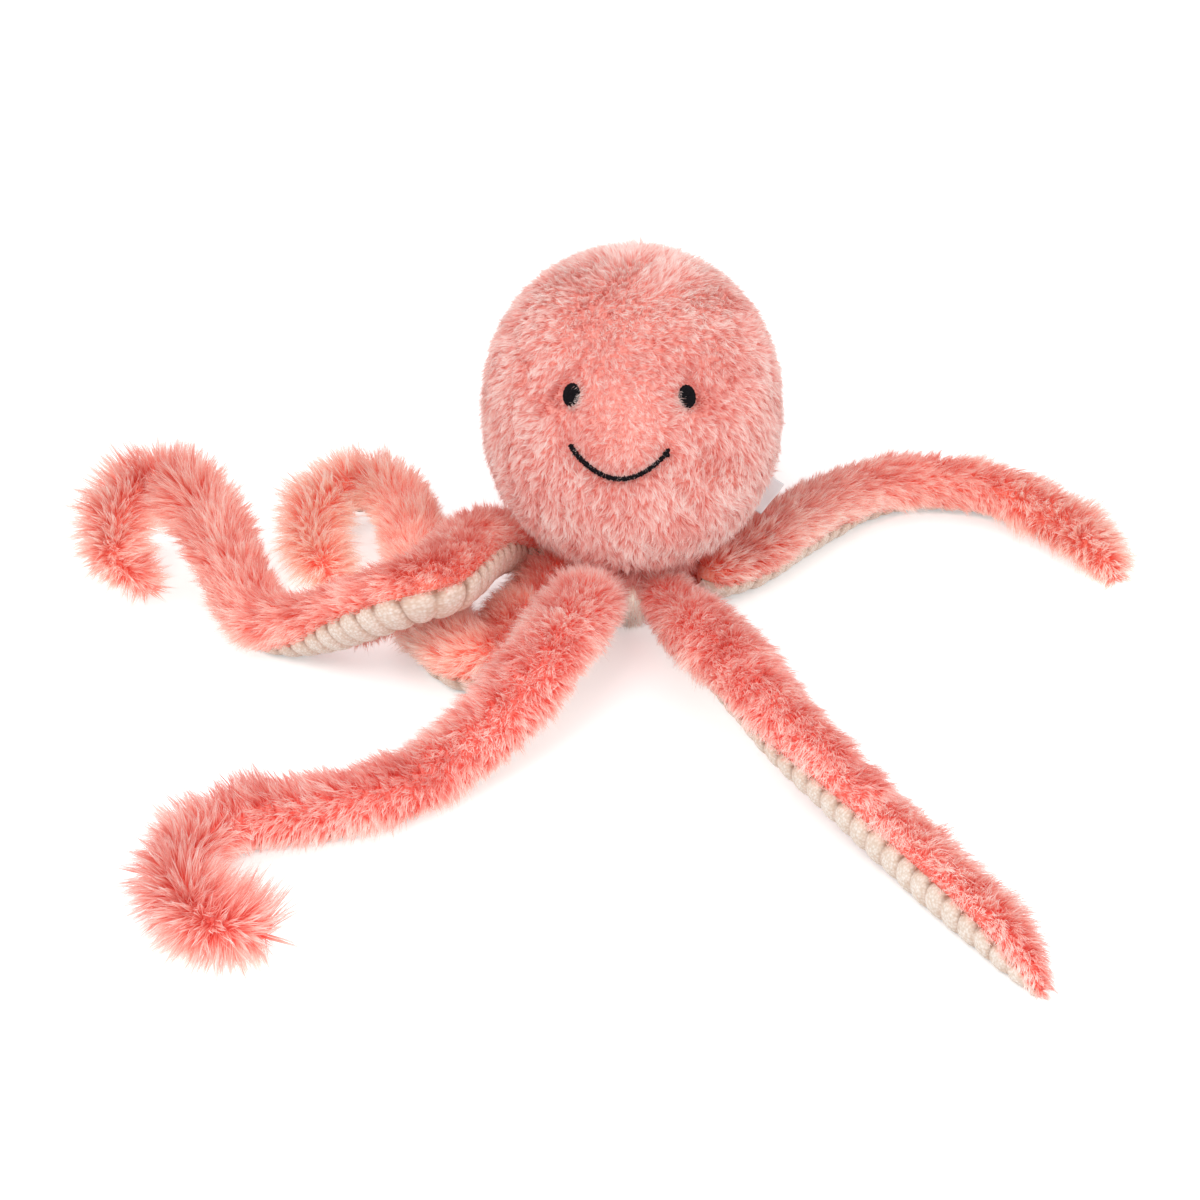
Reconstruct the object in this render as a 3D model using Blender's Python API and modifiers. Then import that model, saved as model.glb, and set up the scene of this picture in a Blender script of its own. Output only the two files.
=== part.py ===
"""A plush octopus that sits on its base with its eight tentacles spread over the floor.

Units are metres, +Z is up and the origin is on the floor under the middle of the base. The face
looks along -Y, towards the viewer, and +X is to the viewer's right.

The head is two fur panels sewn together at the sides, over a ball of filling and a bag of pellets.
Each tentacle is a fur panel over the top, a ribbed corduroy panel underneath and a core of filling.
A tentacle swings up and down at its sewn root, which is round about the middle of its hinge.
"""

import math

import bmesh
import bpy
from mathutils import Matrix, Vector

OBJECT_NAME = "plush_octopus"

# Cloth and clearances
seam_gap = 0.0003
filling_gap = 0.0008
merge_distance = 0.00005
fur_wall = 0.0025
cord_wall = 0.0025
floor_cut = 0.0005

# Base and head
base_thickness = 0.0030
hub_radius = 0.0365
hub_height = 0.0370
head_half_width = 0.0787
head_height = 0.1823
head_lean = 0.0300
bean_bag_height = 0.0300
bean_bag_shoulder = 0.0060
head_steps = 24
sharp_edge_angle = 40.0

# Outline of the head above the hub, from the crown down to the neck. Each row is a share of the
# head's half width and a share of the height from the hub's top to the crown.
head_outline_shares = [
    (0.000, 1.000),
    (0.152, 0.997),
    (0.349, 0.974),
    (0.559, 0.924),
    (0.737, 0.850),
    (0.870, 0.755),
    (0.956, 0.647),
    (0.997, 0.533),
    (1.000, 0.418),
    (0.972, 0.303),
    (0.905, 0.202),
    (0.820, 0.128),
    (0.718, 0.071),
    (0.597, 0.024),
]

# Face, at places on the head given by height and by degrees from the middle of the face
eye_half_width = 0.0046
eye_half_height = 0.0060
eye_half_thickness = 0.0011
eye_height = 0.1400
eye_angles = {"eye_left": -26.0, "eye_right": 22.0}
eye_steps = 12
mouth_thread_radius = 0.0014
mouth_drop = 0.0215
mouth_sag = 0.0145
mouth_left_angle = -24.0
mouth_right_angle = 13.0
mouth_point_count = 13
mouth_seat = 0.0009

# Label in the side seam
label_length = 0.0180
label_reach = 0.0085
label_thickness = 0.0012
label_edge_radius = 0.0004
label_height = 0.0600
label_angle = 90.0

# Tentacles
root_radius = 0.0135
root_height = 0.0180
swell_half_width = 0.0172
flatness_share = 0.94
tentacle_spread = 0.3000
layer_gap = 0.0040
rib_pitch = 0.0145
rib_depth = 0.0015
cord_angle = 110.0
curve_samples = 12
fur_outer_count = 7
fur_inner_count = 5
cord_outer_count = 5
cord_inner_count = 3

# How a tentacle swells and tapers: share of its length, share of the swell's half width
taper_shares = [
    (0.00, 0.80),
    (0.12, 1.00),
    (0.25, 0.97),
    (0.50, 0.85),
    (0.80, 0.73),
    (0.93, 0.61),
    (0.98, 0.42),
    (1.00, 0.24),
]
root_blend_share = 0.12
root_cap_shares = (0.955, 0.80, 0.48)

# The filling ends where half a tentacle's height is less than this share of its wall
filling_end_share = 1.5

# Where each tentacle lies. ring_angle places the root on the hub and lift_angle is the direction
# in which it swings up, both in degrees from +X. A path row is a share of the spread to the right,
# a share to the back, a height in layers of tentacle above the floor, and a twist in degrees that
# turns the corduroy from straight down towards the left of the run.
tentacles = {
    "front_right": {
        "ring_angle": -68.0,
        "lift_angle": -63.0,
        "path_shares": [
            (0.10, -0.25, 0.15, 0.0),
            (0.155, -0.38, 0.30, -5.0),
            (0.205, -0.51, 0.35, -25.0),
            (0.26, -0.63, 0.30, -47.0),
            (0.32, -0.725, 0.20, -63.0),
            (0.375, -0.81, 0.10, -73.0),
            (0.43, -0.89, 0.0, -77.0),
            (0.48, -0.975, 0.0, -77.0),
            (0.53, -1.06, 0.0, -72.0),
            (0.57, -1.14, 0.0, -66.0),
        ],
    },
    "front_left": {
        "ring_angle": -114.0,
        "lift_angle": -125.0,
        "path_shares": [
            (-0.075, -0.235, 0.45, 0.0),
            (-0.115, -0.36, 0.60, 0.0),
            (-0.16, -0.47, 0.55, 0.0),
            (-0.205, -0.54, 0.33, 0.0),
            (-0.26, -0.60, 0.15, 0.0),
            (-0.33, -0.67, 0.0, 0.0),
            (-0.42, -0.735, 0.0, 0.0),
            (-0.53, -0.77, 0.0, 0.0),
            (-0.62, -0.79, 0.0, 10.0),
            (-0.675, -0.85, 0.0, 20.0),
            (-0.685, -0.94, 0.0, 30.0),
            (-0.64, -1.01, 0.0, 30.0),
            (-0.57, -1.02, 0.0, 30.0),
        ],
    },
    "left_front": {
        "ring_angle": -150.0,
        "lift_angle": 170.0,
        "path_shares": [
            (-0.175, -0.16, 0.0, 0.0),
            (-0.205, -0.245, 0.0, 20.0),
            (-0.225, -0.315, 0.0, 35.0),
            (-0.26, -0.345, 0.0, 35.0),
            (-0.31, -0.31, 0.0, 20.0),
            (-0.345, -0.23, 0.0, 0.0),
            (-0.37, -0.14, 0.0, 0.0),
            (-0.39, -0.04, 0.0, 0.0),
            (-0.405, 0.06, 0.10, 0.0),
            (-0.43, 0.15, 0.25, 10.0),
            (-0.48, 0.21, 0.35, 15.0),
            (-0.545, 0.215, 0.40, 15.0),
            (-0.59, 0.16, 0.30, 15.0),
            (-0.595, 0.08, 0.15, 10.0),
            (-0.555, 0.01, 0.0, 0.0),
        ],
    },
    "left": {
        "ring_angle": 168.0,
        "lift_angle": 165.0,
        "path_shares": [
            (-0.235, -0.035, 0.50, 55.0),
            (-0.275, -0.13, 0.79, 62.0),
            (-0.30, -0.235, 1.02, 64.0),
            (-0.325, -0.315, 1.18, 64.0),
            (-0.375, -0.345, 1.19, 64.0),
            (-0.44, -0.33, 0.89, 60.0),
            (-0.52, -0.28, 0.40, 48.0),
            (-0.59, -0.24, 0.10, 25.0),
            (-0.655, -0.20, 0.0, 0.0),
            (-0.70, -0.13, 0.15, 0.0),
            (-0.745, -0.04, 0.45, 0.0),
            (-0.79, 0.04, 0.75, 0.0),
            (-0.845, 0.10, 0.95, 0.0),
            (-0.905, 0.095, 1.0, 0.0),
            (-0.945, 0.03, 0.80, 0.0),
            (-0.94, -0.04, 0.50, 0.0),
            (-0.895, -0.05, 0.20, 0.0),
        ],
    },
    "back_left": {
        "ring_angle": 124.0,
        "lift_angle": 97.0,
        "path_shares": [
            (-0.145, 0.26, 0.0, 0.0),
            (-0.18, 0.40, 0.10, 0.0),
            (-0.20, 0.55, 0.15, 10.0),
            (-0.205, 0.70, 0.10, 20.0),
            (-0.19, 0.84, 0.0, 20.0),
            (-0.16, 0.96, 0.0, 10.0),
            (-0.13, 1.06, 0.0, 0.0),
        ],
    },
    "back": {
        "ring_angle": 80.0,
        "lift_angle": 89.0,
        "path_shares": [
            (0.02, 0.32, 0.08, 0.0),
            (0.0, 0.47, 0.18, 0.0),
            (-0.01, 0.62, 0.13, 0.0),
            (0.01, 0.77, 0.0, 0.0),
            (0.03, 0.90, 0.0, 0.0),
            (0.02, 1.03, 0.0, 0.0),
            (0.03, 1.15, 0.0, 0.0),
        ],
    },
    "back_right": {
        "ring_angle": 32.0,
        "lift_angle": 95.0,
        "path_shares": [
            (0.19, 0.24, 0.0, 0.0),
            (0.215, 0.38, 0.10, 0.0),
            (0.22, 0.53, 0.20, -10.0),
            (0.215, 0.68, 0.15, -20.0),
            (0.225, 0.83, 0.0, -20.0),
            (0.22, 0.97, 0.0, -10.0),
            (0.195, 1.09, 0.0, 0.0),
        ],
    },
    "right": {
        "ring_angle": -18.0,
        "lift_angle": 15.0,
        "path_shares": [
            (0.215, 0.0, 0.05, -30.0),
            (0.28, 0.08, 0.05, -35.0),
            (0.36, 0.17, 0.05, -30.0),
            (0.44, 0.25, 0.05, -15.0),
            (0.53, 0.30, 0.05, 0.0),
            (0.63, 0.30, 0.05, 0.0),
            (0.72, 0.27, 0.05, 0.0),
            (0.81, 0.19, 0.0, 0.0),
            (0.87, 0.10, 0.0, 0.0),
            (0.90, 0.03, 0.0, 0.0),
        ],
    },
}


# Materials

def new_material(name, colour, roughness):
    material = bpy.data.materials.new(name)
    material.use_nodes = True
    shader = material.node_tree.nodes["Principled BSDF"]
    shader.inputs["Base Color"].default_value = (*colour, 1.0)
    shader.inputs["Roughness"].default_value = roughness
    shader.inputs["Metallic"].default_value = 0.0
    return material


# Scene helpers

def new_collection(name):
    collection = bpy.data.collections.new(name)
    bpy.context.scene.collection.children.link(collection)
    return collection


def add_object(name, mesh, material):
    part = bpy.data.objects.new(name, mesh)
    collection.objects.link(part)
    mesh.materials.append(material)
    mesh.shade_smooth()
    return part


def as_mesh(source):
    """The source's evaluated shape as a plain mesh, in world space; the source is removed."""
    graph = bpy.context.evaluated_depsgraph_get()
    evaluated = source.evaluated_get(graph)
    mesh = bpy.data.meshes.new_from_object(evaluated)
    mesh.transform(source.matrix_world)
    bpy.data.objects.remove(source)
    return mesh


def hang_on(part, empty):
    part.parent = empty
    part.matrix_parent_inverse = empty.matrix_world.inverted()


def new_hinge(name, centre, axis):
    """An empty on a hinge, with its local X axis along the hinge's axis."""
    across = Vector((0.0, 0.0, 1.0)).cross(axis).normalized()
    turn = Matrix((axis, across, axis.cross(across))).transposed().to_4x4()
    empty = bpy.data.objects.new(name, None)
    empty.empty_display_size = root_radius
    empty.matrix_world = Matrix.Translation(centre) @ turn
    collection.objects.link(empty)
    bpy.context.view_layer.update()
    return empty


# Head

def head_profile():
    """The head's outer outline as (radius, height) points, from the crown to the bottom rim."""
    rise = head_height - hub_height
    outline = [(head_half_width * w, hub_height + rise * h) for w, h in head_outline_shares]
    return outline + [(hub_radius, hub_height), (hub_radius, base_thickness + seam_gap)]


def profile_radius(height):
    points = head_profile()
    for (upper_radius, upper), (lower_radius, lower) in zip(points, points[1:]):
        if lower <= height <= upper and upper > lower:
            share = (height - lower) / (upper - lower)
            return lower_radius + share * (upper_radius - lower_radius)
    return 0.0


def lean_at(height):
    """How far back the head leans at a height: nothing on the hub, most at the crown."""
    share = (height - hub_height) / (head_height - hub_height)
    return head_lean * min(max(share, 0.0), 1.0)


def lean_back(mesh):
    for vertex in mesh.vertices:
        vertex.co.y += lean_at(vertex.co.z)


def head_point(height, degrees, proud):
    """A point that stands proud of the head's surface, with the surface's outward direction."""
    turn = math.radians(degrees)
    outward = Vector((math.sin(turn), -math.cos(turn), 0.0))
    step = (head_height - hub_height) / len(head_outline_shares)
    slope = (profile_radius(height + step) - profile_radius(height - step)) / (2.0 * step)
    normal = (outward - Vector((0.0, 0.0, slope))).normalized()
    place = outward * profile_radius(height) + Vector((0.0, lean_at(height), height))
    return place + normal * proud, normal


def turned(name, profile, steps, degrees):
    """The mesh that a profile sweeps about the Z axis."""
    mesh = bpy.data.meshes.new(name)
    points = [(radius, 0.0, height) for radius, height in profile]
    mesh.from_pydata(points, [(i, i + 1) for i in range(len(points) - 1)], [])
    source = bpy.data.objects.new(name, mesh)
    collection.objects.link(source)
    screw = source.modifiers.new("turn", "SCREW")
    screw.angle = math.radians(degrees)
    screw.steps = steps
    screw.render_steps = steps
    screw.use_merge_vertices = True
    screw.merge_threshold = merge_distance
    return source


def head_skin(name, facing):
    """Half of the head's fur cover. Each half stands back from the side seam it is sewn at."""
    half_steps = head_steps // 2
    source = turned(name, head_profile(), half_steps, 180.0)
    wall = source.modifiers.new("wall", "SOLIDIFY")
    wall.thickness = fur_wall
    wall.offset = -1.0
    half_gap = seam_gap / 2.0 + fur_wall * math.sin(math.radians(90.0 / half_steps))
    source.matrix_world = Matrix.Rotation(math.radians(90.0 - 90.0 * facing), 4, "Z")
    bpy.context.view_layer.update()
    mesh = as_mesh(source)
    mesh.transform(Matrix.Translation((0.0, half_gap * facing, 0.0)))
    lean_back(mesh)
    return add_object(name, mesh, coral_fur)


def inset(profile, distance):
    """A profile moved in from its own outline by a distance, square to the line through it."""
    moved = []
    for i, (radius, height) in enumerate(profile):
        before = profile[max(i - 1, 0)]
        after = profile[min(i + 1, len(profile) - 1)]
        run = math.hypot(after[0] - before[0], after[1] - before[1])
        across = (before[1] - after[1]) / run
        along = (after[0] - before[0]) / run
        moved.append((max(radius - distance * across, 0.0), height - distance * along))
    return moved


def head_filling():
    """The stuffing above the bag of pellets, following the inside of the fur cover."""
    rise = head_height - hub_height
    outline = [(head_half_width * w, hub_height + rise * h) for w, h in head_outline_shares]
    profile = inset(outline, fur_wall + 2.0 * seam_gap)
    profile[0] = (0.0, profile[1][1])
    floor_height = base_thickness + bean_bag_height + 2.0 * seam_gap
    neck_radius = hub_radius - fur_wall - seam_gap
    neck_height = hub_height + fur_wall + seam_gap
    profile += [(neck_radius, neck_height), (neck_radius, floor_height), (0.0, floor_height)]
    mesh = as_mesh(turned("head_filling", profile, head_steps // 2, 360.0))
    lean_back(mesh)
    return add_object("head_filling", mesh, white_filling)


def bean_bag():
    """A sealed bag of pellets that weighs the base down, with a drawn-in top and bottom."""
    radius = hub_radius - fur_wall - seam_gap
    bottom = base_thickness + seam_gap
    middle = bottom + bean_bag_height / 2.0
    top = bottom + bean_bag_height
    profile = [
        (0.0, top),
        (radius - bean_bag_shoulder, top),
        (radius, top - bean_bag_shoulder),
        (radius, middle),
        (radius, bottom + bean_bag_shoulder),
        (radius - bean_bag_shoulder, bottom),
        (0.0, bottom),
    ]
    mesh = as_mesh(turned("bean_bag", profile, head_steps // 2, 360.0))
    return add_object("bean_bag", mesh, bag_cloth)


def base_panel():
    """The round panel sewn into the bottom rim, flat on the floor."""
    bpy.ops.mesh.primitive_cylinder_add(
        vertices=head_steps,
        radius=hub_radius,
        depth=base_thickness,
        location=(0.0, 0.0, base_thickness / 2.0),
    )
    source = bpy.context.active_object
    bpy.context.view_layer.update()
    panel = add_object("base_panel", as_mesh(source), cream_cord)
    panel.data.set_sharp_from_angle(angle=math.radians(sharp_edge_angle))
    return panel


def eye(name, degrees):
    """A satin-stitched oval, lying on the fur."""
    place, normal = head_point(eye_height, degrees, eye_half_thickness + 2.0 * seam_gap)
    bpy.ops.mesh.primitive_uv_sphere_add(segments=eye_steps, ring_count=eye_steps // 2, radius=1.0)
    source = bpy.context.active_object
    across = Vector((0.0, 0.0, 1.0)).cross(normal).normalized()
    turn = Matrix((across, normal.cross(across), normal)).transposed().to_4x4()
    size = Matrix.Diagonal((eye_half_width, eye_half_height, eye_half_thickness, 1.0))
    source.matrix_world = Matrix.Translation(place) @ turn @ size
    bpy.context.view_layer.update()
    return add_object(name, as_mesh(source), black_thread)


def mouth():
    """The smile: a line of thick stitching that sags between its two corners."""
    curve = bpy.data.curves.new("mouth_stitching", "CURVE")
    curve.dimensions = "3D"
    curve.bevel_depth = mouth_thread_radius
    curve.bevel_resolution = 2
    curve.use_fill_caps = True
    spline = curve.splines.new("POLY")
    spline.points.add(mouth_point_count - 1)
    corner_height = eye_height - mouth_drop
    for i, point in enumerate(spline.points):
        share = i / (mouth_point_count - 1)
        degrees = mouth_left_angle + share * (mouth_right_angle - mouth_left_angle)
        height = corner_height - mouth_sag * math.sin(math.pi * share)
        place, _ = head_point(height, degrees, mouth_thread_radius + mouth_seat)
        point.co = (*place, 1.0)
    source = bpy.data.objects.new("mouth_stitching", curve)
    collection.objects.link(source)
    bpy.context.view_layer.update()
    mesh = as_mesh(source)
    welded = bmesh.new()
    welded.from_mesh(mesh)
    bmesh.ops.remove_doubles(welded, verts=welded.verts, dist=merge_distance)
    welded.to_mesh(mesh)
    welded.free()
    return add_object("mouth_stitching", mesh, black_thread)


def side_label():
    """A blank folded ribbon in the right side seam. It flaps about the line it is sewn on."""
    seat = label_thickness / 2.0 + 2.0 * seam_gap
    place, normal = head_point(label_height, label_angle, seat)
    across = Vector((0.0, 1.0, 0.0))
    along = across.cross(normal).normalized()
    turn = Matrix((along, across, normal)).transposed().to_4x4()
    bpy.ops.mesh.primitive_cube_add(size=1.0)
    source = bpy.context.active_object
    source.data.transform(Matrix.Diagonal((label_length, label_thickness, label_reach, 1.0)))
    middle = place + normal * (label_reach - label_thickness) / 2.0
    source.matrix_world = Matrix.Translation(middle) @ turn
    edge = source.modifiers.new("edge", "BEVEL")
    edge.width = label_edge_radius
    edge.segments = 2
    bpy.context.view_layer.update()
    label = add_object("side_label", as_mesh(source), white_ribbon)
    label.data.set_sharp_from_angle(angle=math.radians(sharp_edge_angle))
    hang_on(label, new_hinge("hinge_side_label", place, along))
    return label


# Tentacles

def smooth_step(share):
    share = min(max(share, 0.0), 1.0)
    return share * share * (3.0 - 2.0 * share)


def table_value(rows, share):
    """The second column of a table at a share in its first, on straight lines between rows."""
    for (low, low_value), (high, high_value) in zip(rows, rows[1:]):
        if share <= high:
            return low_value + (high_value - low_value) * (share - low) / (high - low)
    return rows[-1][1]


def half_sizes(share):
    """Half width and half height of a tentacle, round at the root and flatter further out."""
    blend = smooth_step(share / root_blend_share)
    width = swell_half_width * table_value(taper_shares, share)
    half_width = root_radius + (width - root_radius) * blend
    return half_width, half_width * (1.0 + (flatness_share - 1.0) * blend)


def smooth_curve(points, samples):
    """Points along a smooth curve through the given ones, which may have any number of axes."""
    ends = [points[0]] + points + [points[-1]]
    places = []
    for before, start, end, after in zip(ends, ends[1:], ends[2:], ends[3:]):
        for k in range(samples):
            t = k / samples
            places.append(tuple(
                0.5 * (2.0 * b + (c - a) * t + (2.0 * a - 5.0 * b + 4.0 * c - d) * t ** 2
                       + (3.0 * b - a - 3.0 * c + d) * t ** 3)
                for a, b, c, d in zip(before, start, end, after)))
    return places + [points[-1]]


def root_place(ring_angle):
    turn = math.radians(ring_angle)
    radius = hub_radius + seam_gap + root_radius
    return Vector((radius * math.cos(turn), radius * math.sin(turn), root_height))


def layer_height():
    return 2.0 * swell_half_width * flatness_share + layer_gap


def spine(spec):
    """Centres, directions and twists along a tentacle, one for each rib's crest, evenly spaced."""
    root = root_place(spec["ring_angle"])
    root_half_height = half_sizes(0.0)[1]
    root_layer = (root_height - root_half_height + floor_cut) / layer_height()
    first_twist = spec["path_shares"][0][3]
    rows = [(root.x, root.y, root_layer, first_twist)]
    for right, back, layer, twist in spec["path_shares"]:
        rows.append((right * tentacle_spread, back * tentacle_spread, layer, twist))
    fine = smooth_curve(rows, curve_samples)
    lengths = [0.0]
    for a, b in zip(fine, fine[1:]):
        rise = (b[2] - a[2]) * layer_height()
        lengths.append(lengths[-1] + math.hypot(b[0] - a[0], b[1] - a[1], rise))
    rib_count = round(lengths[-1] / rib_pitch)
    stations = []
    last = 0
    for i in range(rib_count + 1):
        share = i / rib_count
        while last < len(fine) - 2 and lengths[last + 1] < share * lengths[-1]:
            last += 1
        part = (share * lengths[-1] - lengths[last]) / (lengths[last + 1] - lengths[last])
        x, y, layer, twist = (a + (b - a) * part for a, b in zip(fine[last], fine[last + 1]))
        half_width, half_height = half_sizes(share)
        z = half_height - floor_cut + layer * layer_height()
        stations.append([Vector((x, y, z)), half_width, half_height, math.radians(twist)])
    for i, station in enumerate(stations):
        before = stations[max(i - 1, 0)][0]
        after = stations[min(i + 1, rib_count)][0]
        station.append((after - before).normalized())
    return stations


def with_root_cap(stations):
    """The stations with the smaller ones of the root's round end put before the first."""
    centre, half_width, half_height, twist, direction = stations[0]
    cap = []
    for share in root_cap_shares:
        shrink = math.sqrt(1.0 - share ** 2)
        place = centre - direction * root_radius * share
        cap.append([place, half_width * shrink, half_height * shrink, twist, direction])
    return cap + stations


def section(station, degrees, wall):
    """Points of a tentacle's cross-section, at angles from its top and a wall in from outside."""
    centre, half_width, half_height, twist, direction = station
    side = direction.cross(Vector((0.0, 0.0, 1.0))).normalized()
    up = side.cross(direction).normalized()
    points = []
    for angle in degrees:
        turn = math.radians(angle) + twist
        wide = max(half_width - wall, seam_gap)
        high = max(half_height - wall, seam_gap)
        point = centre + side * wide * math.sin(turn) + up * high * math.cos(turn)
        point.z = max(point.z, 0.0)
        points.append(point)
    return points


def spread_angles(start, end, count):
    return [start + (end - start) * i / (count - 1) for i in range(count)]


def loft(name, rings, outer_count, material):
    """A closed body through rings of equally many points, with a face across each end.

    The first points of a ring lie on the outside and the rest run back along the inside. Each
    four-sided patch is split so that layers that lie in each other fold along the same lines.
    """
    body = bmesh.new()
    rows = [[body.verts.new(point) for point in ring] for ring in rings]
    count = len(rows[0])
    for near, far in zip(rows, rows[1:]):
        for i in range(count):
            following = (i + 1) % count
            a, b, c, d = near[i], near[following], far[following], far[i]
            if i < outer_count:
                body.faces.new((a, b, c))
                body.faces.new((a, c, d))
            else:
                body.faces.new((a, b, d))
                body.faces.new((b, c, d))
    body.faces.new(list(reversed(rows[0])))
    body.faces.new(rows[-1])
    bmesh.ops.recalc_face_normals(body, faces=body.faces)
    mesh = bpy.data.meshes.new(name)
    body.to_mesh(mesh)
    body.free()
    return add_object(name, mesh, material)


def fur_panel(name, stations):
    """The fur over the top and sides: an open sleeve with its seams low down on both sides."""
    edge = 180.0 - cord_angle / 2.0
    rings = []
    for station in stations:
        outer = section(station, spread_angles(-edge, edge, fur_outer_count), 0.0)
        inner = section(station, spread_angles(edge, -edge, fur_inner_count), fur_wall)
        rings.append(outer + inner)
    return loft(name, rings, fur_outer_count, coral_fur)


def cord_panel(name, stations):
    """The ribbed underside, drawn in at a groove between each pair of ribs."""
    crests = []
    for station in stations:
        room = math.degrees(2.0 * seam_gap / (station[1] - cord_wall / 2.0))
        start = 180.0 - cord_angle / 2.0 + room
        end = 180.0 + cord_angle / 2.0 - room
        outer = section(station, spread_angles(start, end, cord_outer_count), 0.0)
        inner = section(station, spread_angles(end, start, cord_inner_count), cord_wall)
        crests.append(outer + inner)
    first_rib = len(root_cap_shares)
    rings = crests[:first_rib + 1]
    for i in range(first_rib + 1, len(stations)):
        centre = (stations[i - 1][0] + stations[i][0]) / 2.0
        groove = [(a + b) / 2.0 for a, b in zip(crests[i - 1], crests[i])]
        for k in range(1, cord_outer_count - 1):
            groove[k] += (centre - groove[k]).normalized() * rib_depth
        rings += [groove, crests[i]]
    return loft(name, rings, cord_outer_count, cream_cord)


def filling(name, stations):
    """The stuffing, a little inside both panels, as far as there is room for it."""
    wall = max(fur_wall, cord_wall) + filling_gap
    edge = 180.0 - cord_angle / 2.0
    angles = spread_angles(-edge, edge, fur_inner_count) + [180.0]
    roomy = [station for station in stations if station[2] > filling_end_share * wall]
    rings = [section(station, angles, wall) for station in roomy]
    return loft(name, rings, len(angles), white_filling)


def tentacle(place_name, spec):
    stations = with_root_cap(spine(spec))
    turn = math.radians(spec["lift_angle"])
    axis = Vector((math.sin(turn), -math.cos(turn), 0.0))
    hinge = new_hinge(f"hinge_{place_name}", root_place(spec["ring_angle"]), axis)
    hang_on(fur_panel(f"{place_name}_tentacle_fur", stations), hinge)
    hang_on(cord_panel(f"{place_name}_tentacle_cord", stations), hinge)
    hang_on(filling(f"{place_name}_tentacle_filling", stations), hinge)


# The model

for old in list(bpy.data.objects):
    bpy.data.objects.remove(old)

collection = new_collection(OBJECT_NAME)
layer_collection = bpy.context.view_layer.layer_collection.children[OBJECT_NAME]
bpy.context.view_layer.active_layer_collection = layer_collection

coral_fur = new_material("coral_fur", (0.80, 0.31, 0.26), 0.90)
cream_cord = new_material("cream_corduroy", (0.87, 0.72, 0.58), 0.90)
black_thread = new_material("black_thread", (0.02, 0.02, 0.025), 0.60)
white_ribbon = new_material("white_ribbon", (0.90, 0.90, 0.90), 0.70)
white_filling = new_material("white_filling", (0.92, 0.91, 0.88), 0.95)
bag_cloth = new_material("bag_cloth", (0.78, 0.76, 0.70), 0.90)

head_skin("head_front_skin", -1.0)
head_skin("head_back_skin", 1.0)
head_filling()
bean_bag()
base_panel()
for eye_name, eye_angle in eye_angles.items():
    eye(eye_name, eye_angle)
mouth()
side_label()
for tentacle_name, tentacle_spec in tentacles.items():
    tentacle(tentacle_name, tentacle_spec)
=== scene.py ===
"""The plush octopus as it looks: shaggy pile over its head and tentacles, puffy corduroy underneath
and an embroidered face, on a pale floor in soft light.

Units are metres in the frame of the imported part: +Z is up, the face looks along -Y and the origin
is on the floor under the middle of the base. The pile is real strands. Each grows from the cloth in
a tuft whose strands draw together at their tips.
"""

import math
from collections import namedtuple

import bpy
import numpy as np
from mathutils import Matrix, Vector


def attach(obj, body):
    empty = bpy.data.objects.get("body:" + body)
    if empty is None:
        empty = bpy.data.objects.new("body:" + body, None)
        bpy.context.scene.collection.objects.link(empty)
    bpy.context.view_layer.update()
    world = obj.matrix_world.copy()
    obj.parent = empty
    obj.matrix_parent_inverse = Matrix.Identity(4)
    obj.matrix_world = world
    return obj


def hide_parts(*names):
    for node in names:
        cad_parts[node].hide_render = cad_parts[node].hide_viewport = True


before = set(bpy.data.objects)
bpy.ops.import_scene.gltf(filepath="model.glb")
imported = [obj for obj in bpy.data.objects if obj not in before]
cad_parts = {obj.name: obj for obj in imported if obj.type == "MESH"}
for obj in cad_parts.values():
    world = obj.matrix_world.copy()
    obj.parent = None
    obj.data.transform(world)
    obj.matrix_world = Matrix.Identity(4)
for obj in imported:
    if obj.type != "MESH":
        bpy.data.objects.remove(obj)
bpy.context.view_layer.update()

upward = np.array([0.0, 0.0, 1.0])
white = (1.0, 1.0, 1.0)

# Sizes of the part
seam_gap = 0.0003
floor_cut = 0.0005
base_thickness = 0.0030
hub_radius = 0.0365
hub_height = 0.0370
head_half_width = 0.0787
head_height = 0.1823
head_lean = 0.0300
eye_half_width = 0.0046
eye_half_height = 0.0060
eye_half_thickness = 0.0011
eye_height = 0.1400
eye_angles = {"eye_left": -26.0, "eye_right": 22.0}
mouth_thread_radius = 0.0014
mouth_drop = 0.0215
mouth_sag = 0.0145
mouth_left_angle = -24.0
mouth_right_angle = 13.0
mouth_seat = 0.0009
label_length = 0.0180
label_reach = 0.0085
label_thickness = 0.0012
label_height = 0.0600
label_angle = 90.0
root_radius = 0.0135
root_height = 0.0180
swell_half_width = 0.0172
flatness_share = 0.94
tentacle_spread = 0.3000
layer_gap = 0.0040
rib_pitch = 0.0145
cord_angle = 110.0
root_blend_share = 0.12
sewn_half_angle = 13.0

Tentacle = namedtuple("Tentacle", "ring_angle path")
# Values at each step along a tentacle's middle. ribs counts the ribs up to there
Line = namedtuple("Line", "share centre half_width half_height twist direction ribs")

# The head's half widths and heights, from the crown down, as shares of the full ones
head_outline_shares = [
    (0.000, 1.000), (0.152, 0.997), (0.349, 0.974), (0.559, 0.924), (0.737, 0.850),
    (0.870, 0.755), (0.956, 0.647), (0.997, 0.533), (1.000, 0.418), (0.972, 0.303),
    (0.905, 0.202), (0.820, 0.128), (0.718, 0.071), (0.597, 0.024),
]
# A tentacle's half width along it, as (share of its length, share of the swell's half width)
taper_shares = [
    (0.00, 0.80), (0.12, 1.00), (0.25, 0.97), (0.50, 0.85),
    (0.80, 0.73), (0.93, 0.61), (0.98, 0.42), (1.00, 0.24),
]

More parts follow.
